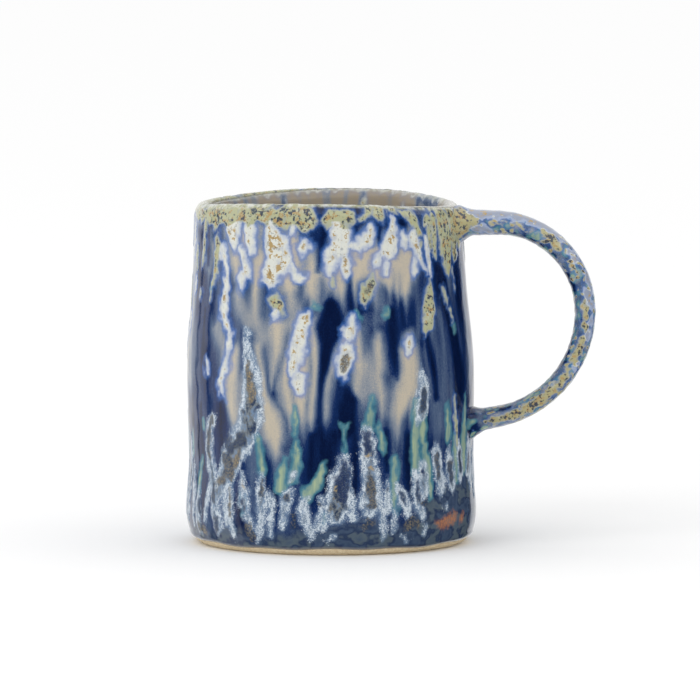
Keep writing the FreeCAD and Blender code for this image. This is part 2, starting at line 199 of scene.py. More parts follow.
FROST = [
    [(-28.5, 68, 0.3), (-27.5, 62, 1.4), (-26, 57, 2.0), (-24.8, 51, 3.0), (-24.5, 45, 4.1), (-26, 40, 4.5),
     (-28, 36.5, 3.8), (-33, 32, 4.2), (-36, 27, 4.2), (-40, 22, 3.4), (-43, 18, 2.4)],
    [(-45, 41, 1.1), (-48.3, 37, 1.6), (-50.5, 32, 2.0), (-50, 27, 2.2), (-47, 22, 2.2), (-45, 18, 2.0)],
    [(-58.5, 18, 0.9), (-58, 13.5, 1.6), (-58, 9, 1.5), (-57, 6, 1.3)],
    [(-48, 21, 0.9), (-50, 15, 1.0), (-52, 9, 0.9)], [(-45, 18, 1.6), (-44, 12, 1.7), (-42, 7, 1.5)],
    [(-42, 21, 1.0), (-40, 17, 1.5), (-38.5, 13, 1.2), (-37.5, 8, 0.9)],
    [(-36, 21, 1.1), (-35.5, 17, 1.3), (-36, 13, 1.2), (-35.5, 9, 1.2), (-34, 6, 0.8)],
    [(-29.5, 23, 0.7), (-28.7, 20, 1.2), (-28.5, 15, 1.6), (-27, 11, 1.5), (-25.5, 8.5, 1.2)],
    [(-21.5, 23.5, 0.8), (-21.3, 20, 1.6), (-20.3, 16, 1.9), (-20.3, 12, 1.2), (-22, 8, 0.8),
     (-22, 5.5, 0.4)],
    [(-18, 19.5, 1.0), (-16.5, 15, 1.2), (-16.7, 11, 1.0), (-17.3, 7, 0.7)],
    [(-10, 18, 1.8), (-10.5, 14, 1.3), (-11, 11, 1.1), (-12, 9.3, 0.5)],
    [(-7.5, 24.5, 0.9), (-7.8, 22.5, 0.9)],
    [(-2.5, 18, 1.0), (-3, 14, 1.5), (-1.5, 10, 1.6), (0.3, 7, 1.3), (0.6, 5.5, 0.8)],
    [(4, 17, 0.7), (3.6, 12, 0.8), (2.5, 8, 1.0)],
    [(13.3, 31, 0.4), (13, 28, 1.5), (12, 24, 2.7), (11, 20, 3.6), (10.8, 16, 3.9), (10.3, 12.5, 2.6),
     (10, 10.8, 0.8)],
    [(6.5, 18, 0.7), (6, 13, 0.8), (5.4, 9, 0.6)], [(15.8, 20, 0.7), (17, 15, 0.9), (17, 12, 1.0)],
    [(23, 38, 0.8), (23, 34, 2.3), (23, 30, 2.3), (23.4, 25, 2.3), (23.4, 20, 2.5), (23.2, 15, 2.6),
     (22.5, 12.5, 1.4)],
    [(25.6, 26, 0.7), (26.8, 19, 1.0), (28, 13, 1.1), (28.5, 8, 0.9), (28.6, 4.6, 0.4)],
    [(31.3, 21.5, 0.7), (31.3, 19, 1.2), (31, 15.5, 1.7), (31, 12.7, 1.1)],
    [(34.3, 12.5, 0.8), (33.3, 9, 0.9), (32.6, 6.7, 0.4)],
    [(36, 22, 0.7), (37.5, 18.5, 1.7), (38.7, 15, 1.6), (39.5, 12.6, 0.7)],
    [(44, 24.5, 0.9), (44, 19, 1.6), (44.6, 15, 1.8), (46, 11.5, 1.1)],
    [(47.5, 26, 1.5), (47.5, 22, 1.9), (48, 18, 1.4)],
    [(54, 32, 0.9), (55.5, 28, 1.9), (57, 22.5, 1.9), (58, 18.5, 1.3)], [(60.5, 21.5, 1.1), (58, 19, 1.2)],
    [(63, 31, 0.7), (64, 26, 1.8), (65, 20, 1.6)], [(71.5, 33, 0.7), (72, 28, 1.9), (73, 22, 1.6)],
    [(81, 32, 0.6), (81, 26, 1.9), (80, 21, 1.2)],
    [(46.5, 56, 0.3), (46.6, 52.5, 1.4), (46.7, 48, 1.9), (46.5, 44, 1.9), (46, 40.8, 1.4)],
    [(-64.5, 24, 0.6), (-64, 18, 1.1), (-63, 11, 1.0), (-63.5, 7, 0.6)],
    [(-70, 34, 0.6), (-70, 26, 1.6), (-71, 18, 1.9), (-70, 11, 1.5), (-71, 7, 0.7)],
    [(-77, 26, 0.6), (-77, 19, 1.5), (-76, 12, 1.3), (-76.5, 8, 0.7)],
    [(-84, 40, 0.4), (-84, 32, 1.9), (-83, 24, 2.2), (-84, 16, 2.2), (-83, 9, 1.1)],
    [(-90, 24, 0.8), (-90, 16, 1.5), (-90, 9, 1.1)],
    [(85, 34, 0.5), (85, 26, 1.5), (84, 18, 1.3)], [(90, 28, 0.7), (90, 22, 1.7), (90, 15, 1.3)],
    [(8, 4.9, 0.5), (10, 4.6, 0.4)], [(37.5, 5.6, 0.5), (39, 4.8, 0.5)], [(48, 8.5, 0.6), (47.5, 7, 0.7)],
    [(59.5, 14, 0.3), (59.5, 12.5, 0.3)],
]
# Dark cores inside the frosted runs, as above with a tone: 0 is navy slate and 1 is brown
CORES = [
    ([(14.3, 61, 0.7), (13.8, 58, 1.2), (13.6, 56, 0.6)], 0.5), ([(-2, 72.2, 0.6)], 0.9),
    ([(16, 68.2, 0.6)], 0.9),
    ([(-3.2, 92.4, 0.7)], 0.95), ([(7.6, 88.6, 0.5)], 0.9), ([(25, 80.5, 0.7), (23.8, 78.5, 0.5)], 0.5),
    ([(-31, 33.7, 2.4)], 0.25), ([(-37, 32.6, 2.3)], 0.2), ([(-38, 28, 2.0)], 0.35),
    ([(-32.5, 28.5, 1.6)], 0.6),
    ([(-36.5, 24.5, 2.3)], 0.45), ([(-42, 21.5, 1.7)], 0.5), ([(-45.8, 20.5, 0.9), (-45.5, 15, 0.9)], 0.3),
    ([(-22, 43, 0.8)], 0.15), ([(-29.5, 41.5, 0.9)], 0.3), ([(-23.5, 38, 1.1)], 0.2),
    ([(-26.5, 58, 0.3), (-25, 52, 0.9), (-24.3, 47, 1.2)], 0.65),
    ([(-46, 40.7, 0.6), (-48.6, 36.5, 0.9), (-50.3, 32, 1.1), (-49.5, 27, 0.9)], 0.4),
    ([(-57, 14, 1.0), (-57, 11, 0.9)], 0.2), ([(-56, 6.5, 1.5), (-53, 5, 1.2)], 0.5),
    ([(-44, 11, 0.8), (-43, 7, 0.9)], 0.2),
    ([(-36, 19.7, 0.4), (-35.6, 16, 0.5), (-35.8, 11, 0.7)], 0.5),
    ([(-29.6, 16, 0.5), (-29.2, 12.5, 0.5)], 0.1), ([(-28.5, 20.3, 0.5)], 1.0),
    ([(-21.2, 22.3, 0.5), (-20.6, 19.5, 0.8), (-19.5, 18, 0.5)], 0.3),
    ([(-26, 7, 1.7)], 0.45), ([(-10, 17.6, 1.1)], 0.35), ([(-7, 12.3, 0.8), (-6.3, 8.5, 1.0)], 0.3),
    ([(3, 15.5, 0.7)], 0.2), ([(13, 29, 0.8), (13, 25.5, 1.9), (11.8, 22, 2.4), (12.5, 18, 1.6)], 0.05),
    ([(9.7, 20.5, 0.5), (10, 18.8, 0.5)], 1.0), ([(7.5, 14.8, 0.8)], 0.45), ([(13.8, 15.7, 0.6)], 0.2),
    ([(8.8, 27, 0.1)], 0.1), ([(22.5, 36, 1.3), (22.8, 33, 1.2)], 0.05), ([(24.6, 30.6, 0.5)], 0.1),
    ([(23.3, 23.5, 0.9), (23.5, 19.5, 1.3), (23.8, 15, 1.3)], 0.45), ([(22.5, 31.2, 0.6)], 1.1),
    ([(23.8, 27, 0.7)], 1.1), ([(31.3, 19.6, 0.6)], 0.1), ([(37, 19, 0.5), (38.3, 16, 0.5)], 0.15),
    ([(31.8, 11, 0.8)], 0.1), ([(47.5, 24, 0.9)], 0.0), ([(44.6, 20.5, 0.5), (44.5, 17, 0.5)], 0.15),
    ([(54.8, 29.5, 0.7), (56, 25, 0.9), (56.6, 22, 0.7)], 0.35),
    ([(46.6, 49.3, 0.8), (46.6, 45.5, 1.0), (46.3, 42, 0.7)], 0.25),
    ([(40, 9.5, 1.6), (43, 9, 1.0)], 0.45), ([(47.5, 15.5, 1.2)], 0.3), ([(22, 9.5, 1.6)], 0.4),
    ([(-70.5, 24, 0.6), (-71, 18, 0.8)], 0.3), ([(-83.5, 30, 0.9), (-83, 22, 1.1)], 0.1),
    ([(-77, 17, 0.6)], 0.8),
    ([(72, 29, 1.0), (72.6, 24, 1.1)], 0.2), ([(64, 27, 0.9), (64.6, 22, 1.0)], 0.3),
    ([(81, 27, 1.0), (80.5, 23, 0.8)], 0.25),
]
CREAM = [
    [(-18, 98, 2.0), (-15.5, 93, 3.6), (-14, 88, 3.8), (-17.5, 84, 3.2), (-20, 81, 1.2)],
    [(-11.5, 91, 1.6), (-12, 87, 1.6)], [(-38, 97.5, 2.6), (-36.5, 93.5, 1.6), (-36, 91.3, 0.5)],
    [(-28.5, 97.5, 2.2), (-27.5, 93.5, 1.3), (-26.5, 90.5, 0.8)],
    [(-33, 90.5, 0.9), (-30, 88, 1.3), (-28.5, 85, 1.0), (-28, 82.8, 0.4)],
    [(-3, 94.5, 0.8), (-3, 92.3, 2.0)], [(-8.5, 98.3, 0.6), (-8.5, 96.8, 0.9)],
    [(-8.5, 85.5, 0.8), (-6, 84, 1.5), (-4, 85, 1.0)],
    [(12, 96.5, 3.4), (11.5, 92.5, 3.2), (8, 90, 2.0), (6.7, 87, 1.8), (6.3, 84.8, 0.8)],
    [(13.5, 91, 1.4), (15, 87.5, 1.5), (15.5, 84.5, 0.7)],
    [(16.5, 93, 0.9), (20, 92.3, 0.9), (22.5, 94.5, 1.7), (24, 97, 1.1)],
    [(35, 99, 0.8), (34, 96, 2.2), (33.5, 93.5, 2.7), (32.3, 91.7, 2.9)],
    [(40.5, 95.3, 1.2), (40.5, 92.6, 0.5)],
    [(44.5, 95, 1.4), (46.3, 92, 1.5), (48.2, 89, 1.0), (50, 86.3, 0.5), (52.3, 84, 0.3)],
    [(52.5, 95, 0.8), (54, 90, 0.9), (54.6, 86, 0.9), (55, 83.7, 0.4)],
    [(27.5, 89, 0.7), (27, 87, 1.0)], [(32, 86.8, 0.9), (31.6, 85.3, 0.6)],
    [(46, 86.8, 0.9), (46, 84.5, 0.7)],
    [(-2.5, 72, 1.7), (-3.6, 68, 2.0), (-4.2, 63.5, 2.1), (-5.6, 59.5, 1.8), (-6.7, 56.3, 1.1),
     (-7.4, 54.3, 0.4)],
    [(-4.4, 53.6, 1.6), (-4.9, 51.2, 1.7)], [(16, 70, 1.2), (15, 68, 2.1), (14.7, 66.8, 1.7)],
    [(14.5, 62.4, 1.6), (14, 59, 2.2), (13.6, 55.8, 1.6), (14, 53.8, 0.3)],
    [(40.4, 64.2, 0.9), (41, 62.2, 0.8)],
    [(-44, 91, 1.0), (-43, 88, 1.4), (-41.3, 84.5, 1.0), (-40.8, 79.5, 1.3), (-41.2, 75, 1.4),
     (-41.8, 72, 1.5),
     (-39.3, 69.2, 1.0), (-37.2, 66, 0.9), (-36.7, 62.5, 0.6), (-37.5, 59, 0.6), (-38.2, 56, 1.0),
     (-40, 53, 1.3),
     (-41, 50.3, 1.1), (-40.3, 47, 0.5)],
    [(-15.5, 71.7, 1.0)], [(-30.5, 84, 1.1), (-31.4, 81.5, 1.2), (-32, 79, 0.5)],
    [(-51, 56, 0.5), (-51, 53.5, 0.4)],
    [(-71, 96, 1.2), (-72, 92, 1.6), (-73, 87, 0.6)], [(-80, 97, 2.0), (-81, 91, 1.4)],
    [(-89, 96, 1.8), (-88, 89, 1.5)],
    [(-84, 67, 1.3), (-84.5, 61, 1.5), (-85.5, 56, 0.5)], [(-73, 69, 0.8), (-74, 65, 0.6)],
    [(-68, 80, 0.5), (-68.5, 76, 0.6)],
]
OLIVE = [
    [(-60, 100, 2.0), (-50, 100.5, 3.0), (-40, 101, 3.2), (-30, 101.5, 3.0), (-20, 101.5, 2.6),
     (-10, 101, 3.0),
     (-2, 100.5, 2.8)],
    [(7, 100.7, 2.6), (15.5, 100.7, 2.4)], [(21.5, 101.5, 1.2), (29, 102, 1.6)],
    [(34, 101.8, 1.2), (37, 101.8, 1.3)],
    [(40, 102.8, 0.9), (43.5, 102, 1.3), (46, 99, 1.6), (48.5, 96, 1.4)],
    [(54, 99.5, 1.8), (57.5, 98, 1.2)], [(55.5, 97, 1.3), (56.5, 91.5, 0.9)],
    [(58, 103, 1.1)], [(65, 101, 3.2), (66.5, 95, 3.6), (67, 90, 3.4), (67.5, 85, 2.0)],
    [(58.5, 100, 1.7), (59, 94, 1.4), (59.5, 88, 0.8)], [(74, 100, 3.0), (75, 94, 3.0), (76, 88, 2.0)],
    [(76, 100, 3.0), (80, 96, 2.6), (82, 91, 2.0)],
    [(-16.5, 77.3, 2.0), (-14.6, 75, 2.3), (-13, 73.2, 1.2)], [(8, 83.3, 0.8), (8.3, 81.7, 0.6)],
    [(25.5, 84, 0.4), (25.4, 81, 1.7), (23.6, 78, 2.1), (22.6, 75.8, 1.4)],
    [(54, 81.5, 0.8), (53.5, 77, 2.7), (53, 73, 3.1), (51.6, 69.5, 2.4), (50, 67, 1.2)],
    [(62.5, 78.5, 0.5), (64, 76, 0.7), (65, 74, 0.3)], [(66.5, 72.4, 0.7), (68, 69.8, 0.7)],
    [(49.5, 92.5, 0.8)],
    [(-57, 98, 0.7), (-57.3, 92, 1.2), (-59, 86.5, 1.1), (-60, 84.5, 0.4)],
    [(-48, 95, 0.9), (-46.6, 91, 1.5), (-47.2, 87, 1.6), (-48, 82.5, 1.3), (-50, 79, 0.5)],
    [(-60, 100, 2.0), (-70, 101, 2.0), (-80, 101.5, 2.4), (-90, 101, 2.2)],
    [(-77, 80, 1.0), (-76, 76, 1.6), (-75, 72, 0.8)],
    [(-66, 90, 0.8), (-67, 84, 0.8)], [(-90, 79, 0.8), (-90, 74, 1.4)],
    [(-60, 78, 0.7), (-61, 75.7, 0.5)], [(-50, 77.3, 0.9), (-50, 75.2, 0.7)],
    [(67, 46.5, 0.4), (67, 43, 0.9), (68, 38, 1.2), (69.5, 32, 1.0)], [(72, 84, 0.5), (74, 78, 0.4)],
]
RUST = [[(55, 8.8, 0.7), (59, 8.5, 1.5), (63.5, 10, 1.5), (66, 11, 1.0)], [(71.5, 9, 1.4)]]
# How high the slate band at the foot reaches, by angle
BAND_TOP = [(-180, 8), (-90, 7), (-20, 6), (8, 8), (20, 11), (30, 8), (40, 11), (50, 16), (60, 19),
     (80, 20),
            (100, 14), (180, 8)]
# The handle's glaze, with painted highlight and shade: (distance along the handle, distance round it from
# its outer side, half width)
HANDLE_OLIVE = [
    [(1, 6, 5.0), (5, 5, 3.6)], [(11.5, 2.5, 1.0)], [(15, 2.2, 0.9), (17.5, 2.0, 0.9)],
    [(12.5, 6, 1.0), (15, 6.4, 0.8)],
    [(19, 5.6, 0.8), (22, 6.0, 0.9)], [(28, 4, 1.4), (31, 5, 2.0), (34, 5.5, 1.6)], [(36.5, 4, 1.2)],
    [(40.5, 5.5, 1.5), (42, 5, 1.3)], [(45, 3, 0.9)], [(52, 6, 1.6), (56, 5.4, 1.9)], [(59, 5, 1.6)],
    [(63, 5.4, 1.9), (69, 5.6, 2.0)], [(73, 5.6, 1.8), (80, 5.8, 2.3), (90, 5.6, 2.4), (100, 5.6, 2.0)],
    [(24, 2, 0.8)], [(76, 1.4, 1.1), (86, 1.2, 1.2), (97, 1.4, 1.2)], [(47.5, 7, 0.8)],
]
# Lavender along the handle's outer, upper side is a painted highlight of the light from above.
HANDLE_LIT_LAVENDER = [
    [(6, 2.4, 2.6), (14, 1.8, 2.4), (28, 1.6, 2.2)], [(30, 1.6, 1.2), (32, 2.0, 1.4)],
    [(37.5, 3, 1.6), (40, 3, 1.4)],
    [(49, 4.2, 1.8), (53, 3, 1.4)], [(57.5, 3, 1.2)], [(61.5, 3.6, 1.4)], [(71, 4.6, 1.6)],
    [(8, 8, 1.4), (12, 9, 1.0)],
    [(44, 1.5, 1.2), (48, 1.5, 1.2)],
]
# Navy along the handle's inner side is painted shade; the last runs, round its lower end, are glaze pooled
# at the joint.
HANDLE_NAVY_AND_SHADE = [
    [(16, 10.3, 1.6), (19, 10.3, 1.4)], [(23, 10.4, 1.6), (29, 10.2, 2.0), (35, 10.4, 1.6)],
    [(40, 10.4, 1.6), (48, 10.0, 2.0)], [(60, 11.4, 1.8), (72, 11.0, 2.0)],
    [(76, 11.8, 1.2), (92, 11.8, 1.2)],
    [(96, 10.5, 1.5), (100, 10.0, 1.3)], [(109, 6, 2.0), (110, 12, 2.0)], [(109, 0, 2.0)],
]
# Liner: as on the body, over the top of the inside wall
LINER_NAVY = [
    [(172, 103, 0.8), (171, 96, 1.0), (170, 88, 0.7)], [(-148, 103, 0.8), (-147, 95, 1.2), (-146, 86, 0.8)],
    [(150, 100, 0.6), (149, 92, 0.8)], [(-120, 100, 0.7), (-121, 90, 0.9)], [(60, 101, 0.8), (61, 90, 1.0)],
    [(-40, 101, 0.8), (-41, 88, 1.0)], [(122, 104, 1.2), (128, 103, 2.2), (140, 103, 1.0)],
    [(10, 101, 0.6), (11, 90, 0.9)], [(110, 101, 0.6), (111, 92, 0.8)],
]
LINER_CREAM = [
    [(-180, 104.4, 0.5), (-90, 104.4, 0.4), (0, 104.4, 0.4), (90, 104.4, 0.4), (180, 104.4, 0.5)],
    [(171, 102, 1.2), (174, 96, 1.3), (176, 88, 1.0)], [(-150, 101, 0.8)], [(150, 100.5, 0.7)],
]

# Colours, as seen under white light, except the liner's tan, which is the tan glaze painted darker as shade
# inside the mug
NAVY_BLACK, NAVY_BLUE, SLATE = (6, 20, 54), (16, 42, 90), (82, 100, 128)
GREY_GLAZE, TAN_GLAZE, SHADED_LINER_TAN = (138, 144, 152), (188, 178, 160), (164, 152, 134)
HALO_BLUE, HALO_LAVENDER = (64, 110, 184), (180, 190, 210)
TEAL_GREEN, PALE_GREEN = (78, 134, 150), (160, 176, 144)
LAVENDER, CREAM_GLAZE, OLIVE_GLAZE = (146, 154, 172), (210, 212, 204), (172, 174, 140)
OCHRE, HANDLE_OCHRE = (172, 148, 104), (172, 166, 126)
INK, BROWN = (44, 60, 82), (112, 106, 94)
FROST_WHITE, FROST_BLUE, FROST_GREY = (202, 212, 220), (118, 142, 170), (126, 132, 132)
FOOT_SLATE, FOOT_NAVY, FOOT_GREEN = (68, 84, 106), (42, 56, 84), (86, 99, 108)
RUST_GLAZE = (178, 120, 84)
CLAY_BUFF, CLAY_DARK, EDGE_BROWN = (226, 210, 178), (208, 186, 150), (104, 92, 74)


def linear(colour):
    """Scene-linear RGBA of a colour given as it looks, 0 to 255."""
    return tuple(((c / 255 + 0.055) / 1.055) ** 2.4 if c > 10 else c / 3294.6 for c in colour) + (1.0,)


def ease(x):
    """0 below 0, 1 above 1, smooth between."""
    x = np.clip(x, 0.0, 1.0)
    return x * x * (3.0 - 2.0 * x)


def inside(field, soft):
    """1 well inside a run and 0 well outside, changing over soft millimetres about its edge."""
    return ease(field / soft + 0.5)


def wobble(places, length, seed):
    """Smooth random values from about -1 to 1. places is in mm, length the size of the bumps (x, y, z)."""
    draw = np.random.default_rng(seed)
    total = np.zeros(places.shape[:-1])
    for _ in range(9):
        push = draw.normal(size=3)
        push *= draw.uniform(0.7, 1.5) * 2.0 * math.pi / np.linalg.norm(push) / np.array(length)
        total += np.sin(places @ push + draw.uniform(0, 2 * math.pi))
    return total / 3.0


def run_field(runs, across, up):
    """How far inside the nearest run each place lies, in mm, negative outside."""
    best = np.full(across.shape, OUTSIDE)
    for run in runs:
        for (x0, z0, w0), (x1, z1, w1) in zip(run, run[1:] or run):
            dx, dz = x1 - x0, z1 - z0
            share = np.clip(((across - x0) * dx + (up - z0) * dz) / max(dx * dx + dz * dz, 1e-6), 0.0, 1.0)
            away = np.hypot(across - x0 - share * dx, up - z0 - share * dz)
            best = np.maximum(best, w0 + share * (w1 - w0) - away)
    return best


def around(runs):
    """Runs with their angles turned into millimetres round the body."""
    return [[(a * TURN / 360.0, z, w) for a, z, w in run] for run in runs]


def fading(runs, drop, width):
    """Runs that fade away below their lower end, over drop mm."""
    return [run + [(run[-1][0], run[-1][1] - drop, width)] for run in runs]


def shell(name, rows, fields, capped):
    """A closed mesh lofted through rows of points, in mm. Capped rows end in two fans, others join up."""
    rows = np.array(rows)
    count, across = rows.shape[:2]
    verts = rows.reshape(-1, 3)
    ring = np.arange(across)
    nxt = (ring + 1) % across
    last = count - 1 if capped else count
    faces = []
    for i in range(last):
        low, high = i * across, (i + 1) % count * across
        faces.extend(np.stack([low + ring, low + nxt, high + nxt, high + ring], 1).tolist())
    if capped:
        verts = np.vstack([verts, rows[0].mean(0), rows[-1].mean(0)])
        faces.extend(np.stack([nxt, ring, np.full(across, count * across)], 1).tolist())
        top = (count - 1) * across
        faces.extend(np.stack([top + ring, top + nxt, np.full(across, count * across + 1)], 1).tolist())
    a, b, c = (verts[[f[k] for f in faces]] for k in range(3))
    if np.einsum("ij,ij->i", a, np.cross(b, c)).sum() < 0:
        faces = [f[::-1] for f in faces]
    mesh = bpy.data.meshes.new(name)
    mesh.from_pydata((verts * MM).tolist(), [], faces)
    for field, values in fields.items():
        values = np.asarray(values).reshape(-1)
        if capped:
            values = np.append(values, [values[:across].mean(), values[-across:].mean()])
        mesh.attributes.new(field, "FLOAT", "POINT").data.foreach_set("value", values.astype(np.float32))
    mesh.shade_smooth()
    piece = bpy.data.objects.new(name, mesh)
    bpy.context.scene.collection.objects.link(piece)
    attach(piece, "root")
    return piece


# Clay surface, found by rays
def clay_tree(*names):
    """One BVH tree over CAD nodes, in millimetres."""
    verts, faces = [], []
    for name in names:
        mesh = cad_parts[name].data
        start = len(verts)
        verts.extend(v.co / MM for v in mesh.vertices)
        faces.extend([start + i for i in p.vertices] for p in mesh.polygons)
    return BVHTree.FromPolygons(verts, faces)


clay = clay_tree("wall", "floor")


def first_hit(start, way):
    """The place on the clay first met from start along way."""
    return np.array(clay.ray_cast(Vector(start), Vector(way))[0])


def reach(start, way, far=RAY_FAR):
    """How far the clay's outermost surface lies from start along way, looking back from far."""
    return float(np.dot(first_hit(start + way * far, -way) - start, way))


def soften(values, times):
    """Evens out the mesh facets that rays bring along. Columns go round, rows don't."""
    for _ in range(times):
        values = (np.roll(values, 1, 1) + 2.0 * values + np.roll(values, -1, 1)) / 4.0
        padded = np.vstack([2 * values[:1] - values[1:2], values, 2 * values[-1:] - values[-2:-1]])
        values = (padded[:-2] + 2.0 * padded[1:-1] + padded[2:]) / 4.0
    return values


UP = np.array((0.0, 0.0, 1.0))
SIDEWAYS = np.array((0.0, 1.0, 0.0))
degrees = np.arange(COLUMNS) * 360.0 / COLUMNS - 180.0
ways = np.array([(math.sin(math.radians(d)), -math.cos(math.radians(d)), 0.0) for d in degrees])
wall_top = np.array([first_hit(w * CREST_RADIUS + UP * RAY_START, (0.0, 0.0, -1.0))[2] for w in ways])
pivot_z = wall_top - LIP_PIVOT


def lip_skin(pitch):
    """Places on the lip and the ways out of it, at these angles above level about the pivot."""
    pivots = ways * CREST_RADIUS + UP * pivot_z[:, None]
    out = np.stack([ways * math.cos(t) + UP * math.sin(t) for t in pitch])
    far = np.array([[reach(p, w, LIP_RAY_FAR) for p, w in zip(pivots, row)] for row in out])
    return pivots + out * soften(far, 2)[..., None], out


def near_crest(places):
    """1 on the lip's crest, and 0 from LIP_DEPTH below it."""
    return ease(places[..., 2] - wall_top + LIP_DEPTH)


# Glaze fields
def field_pack(across, up, places):
    """Every glaze field of the body at these places."""
    across = across + 0.5 * wobble(places, (8, 8, 16), 3)
    up = up + 0.9 * wobble(places, (6, 6, 9), 5)
    tan = run_field(around(fading(TAN, 9.0, -2.2)), across, up)
    navy = run_field(around(NAVY), across, up)
    dusk = run_field(around(DUSK), across, up)
    haze = run_field(around(fading(HAZE, 6.0, -2.0)), across, up)
    across = across + 0.3 * wobble(places, (2.6, 2.6, 3.4), 4)
    up = up + 0.35 * wobble(places, (2.4, 2.4, 3), 6)
    depth = 0.26 + 0.12 * wobble(places, (9, 9, 42), 7) + 0.05 * wobble(places, (3, 3, 30), 8)
    depth = depth + (0.5 - depth) * 0.85 * inside(dusk, 4.5)
    depth = depth + (0.78 - depth) * 0.9 * inside(haze + 0.4, 5.0)
    depth = depth + (0.99 - depth) * inside(tan + 0.15, 5.0)
    depth = depth * (1.0 - inside(navy - 0.1, 2.8))
    cream = run_field(around(CREAM), across, up)
    olive = run_field(around(OLIVE), across, up)
    core, core_tone = np.full(across.shape, OUTSIDE), np.zeros(across.shape)
    for run, shade in CORES:
        one = run_field(around([run]), across, up)
        core_tone = np.where(one > core, shade, core_tone)
        core = np.maximum(core, one)
    top = np.interp(across * 360.0 / TURN, [a for a, _ in BAND_TOP], [z for _, z in BAND_TOP])
    return {
        "depth": depth,
        "cream": np.maximum(cream, olive),
        "tone": ease((olive - cream) / 1.5 + 0.5),
        "frost": run_field(around(FROST), across, up),
        "core": core,
        "core_tone": core_tone,
        "teal": run_field(around(TEAL), across, up),
        "foot": ease((top - up) / 5.0 + 0.5),
        "rust": run_field(around(RUST), across, up),
    }


def empty_fields(shape):
    """The fields that only the body's coat has runs in, with none of them."""
    fields = {name: np.full(shape, OUTSIDE) for name in ("frost", "core", "teal", "rust")}
    fields.update({name: np.zeros(shape) for name in ("core_tone", "foot", "edge", "lip")})
    return fields


def mirrored(angle, up):
    """Places on the back take the front's pattern, mirrored and then moved along and up by smooth amounts.

    The amounts depend on the angle and hardly on the height, so that runs stay upright.
    """
    past = np.maximum(np.abs(angle) - 90.0, 0.0)
    folded = np.where(past > 0.0, np.sign(angle) * (90.0 - past), angle)
    turn = np.radians(angle)
    middle, low = np.sin(math.pi * up / MUG_HEIGHT), np.sin(2.0 * math.pi * up / MUG_HEIGHT)
    aside = 5.0 * ease(past / 25.0) * np.sin(3.0 * turn)
    lift = ease(past / 14.0) * (3.0 * middle - np.sin(turn) * (6.0 * middle + 4.0 * low))
    return folded + aside, up + lift


# Outside coat
def body_skin(edge):
    """The clay's outside, from the coat's edge to the lip's crest, and the ways out of it."""
    heights = edge + (pivot_z - edge) * np.linspace(0.0, 1.0, BODY_ROWS)[:, None]
    radius = np.array([[reach(UP * z, w) for z, w in zip(row, ways)] for row in heights])
    side = ways * soften(radius, 6)[..., None] + UP * heights[..., None]
    over, over_out = lip_skin(np.radians(np.linspace(0.0, 90.0, LIP_ROWS + 1))[1:])
    return np.concatenate([side, over]), np.concatenate([np.broadcast_to(ways, side.shape), over_out])


def body_thickness(bare, above, fields):
    """More over cream and frost, and in a roll along the lower edge, where the coat then ends."""
    thick = GLAZE + CREAM_EXTRA * inside(fields["cream"], 1.2) + FROST_EXTRA * inside(fields["frost"], 1.2)
    thick += 0.03 * wobble(bare, (7, 7, 12), 9) + 0.008 * wobble(bare, (2.5, 2.5, 4), 10)
    thick += ROLL * np.exp(-((above - 0.9) / 0.7) ** 2)
    thick *= np.sqrt(np.clip(above / 0.6, 0.0, 1.0))
    on_lip = np.arange(len(bare))[:, None] > BODY_ROWS
    return np.maximum(np.where(on_lip, thick * 0.8 + GLAZE * 0.2, thick), 0.0)


def body_coat():
    wave = np.sin(np.radians(degrees * 5 + 40)) + np.sin(np.radians(degrees * 13))
    edge = EDGE_HEIGHT + EDGE_WAVE * wave / 2.0
    bare, out = body_skin(edge)
    above = bare[..., 2] - edge
    angle, up = mirrored(np.broadcast_to(degrees, bare.shape[:2]), bare[..., 2])
    fields = field_pack(angle * TURN / 360.0, up, bare)
    fields["rust"] = np.where(degrees < 90.0, fields["rust"], OUTSIDE)
    fields["edge"] = 1.0 - ease((above - 0.25) / 0.5)
    # A paler crest, strongest at the front and weakest at the back.
    fields["lip"] = near_crest(bare) * (0.6 + 0.4 * np.cos(np.radians(degrees)))
    front = bare + out * body_thickness(bare, above, fields)[..., None]
    picks = np.linspace(len(bare) - 1, 0, BACK_ROWS).astype(int)
    rows = np.concatenate([front, (bare - out * SINK)[picks]])
    fields = {name: np.concatenate([values, values[picks]]) for name, values in fields.items()}
    return shell("outer_glaze_coat", rows, fields, False)


# Liner
def liner_skin():
    """The clay's inside, over the lip, down the wall and across the floor, and the ways out of it."""
    over, over_out = lip_skin(np.radians(np.linspace(90.0, 180.0, LIP_ROWS)))
    drop = np.concatenate([np.linspace(0.01, 0.25, 40), np.linspace(0.27, 1.0, 42)])
    heights = pivot_z + (HUB_HEIGHT - pivot_z) * drop[:, None]
    radius = np.array([[np.linalg.norm(first_hit(UP * z, w)[:2]) for z, w in zip(row, ways)]
                       for row in heights])
    side = ways * soften(radius, 5)[..., None] + UP * heights[..., None]
    dips = np.radians(np.linspace(2.0, 89.0, FLOOR_ROWS))
    rays = [ways * math.cos(t) - UP * math.sin(t) for t in dips]
    fan = np.array([[first_hit(UP * HUB_HEIGHT, w) for w in row] for row in rays])
    steep = [ease((math.degrees(t) - 4.0) / 26.0) for t in dips]
    fan_out = np.stack([-ways * (1.0 - s) + UP * s for s in steep])
    out = np.concatenate([over_out, np.broadcast_to(-ways, side.shape), fan_out])
    return np.concatenate([over, side, fan]), out / np.linalg.norm(out, axis=-1, keepdims=True)


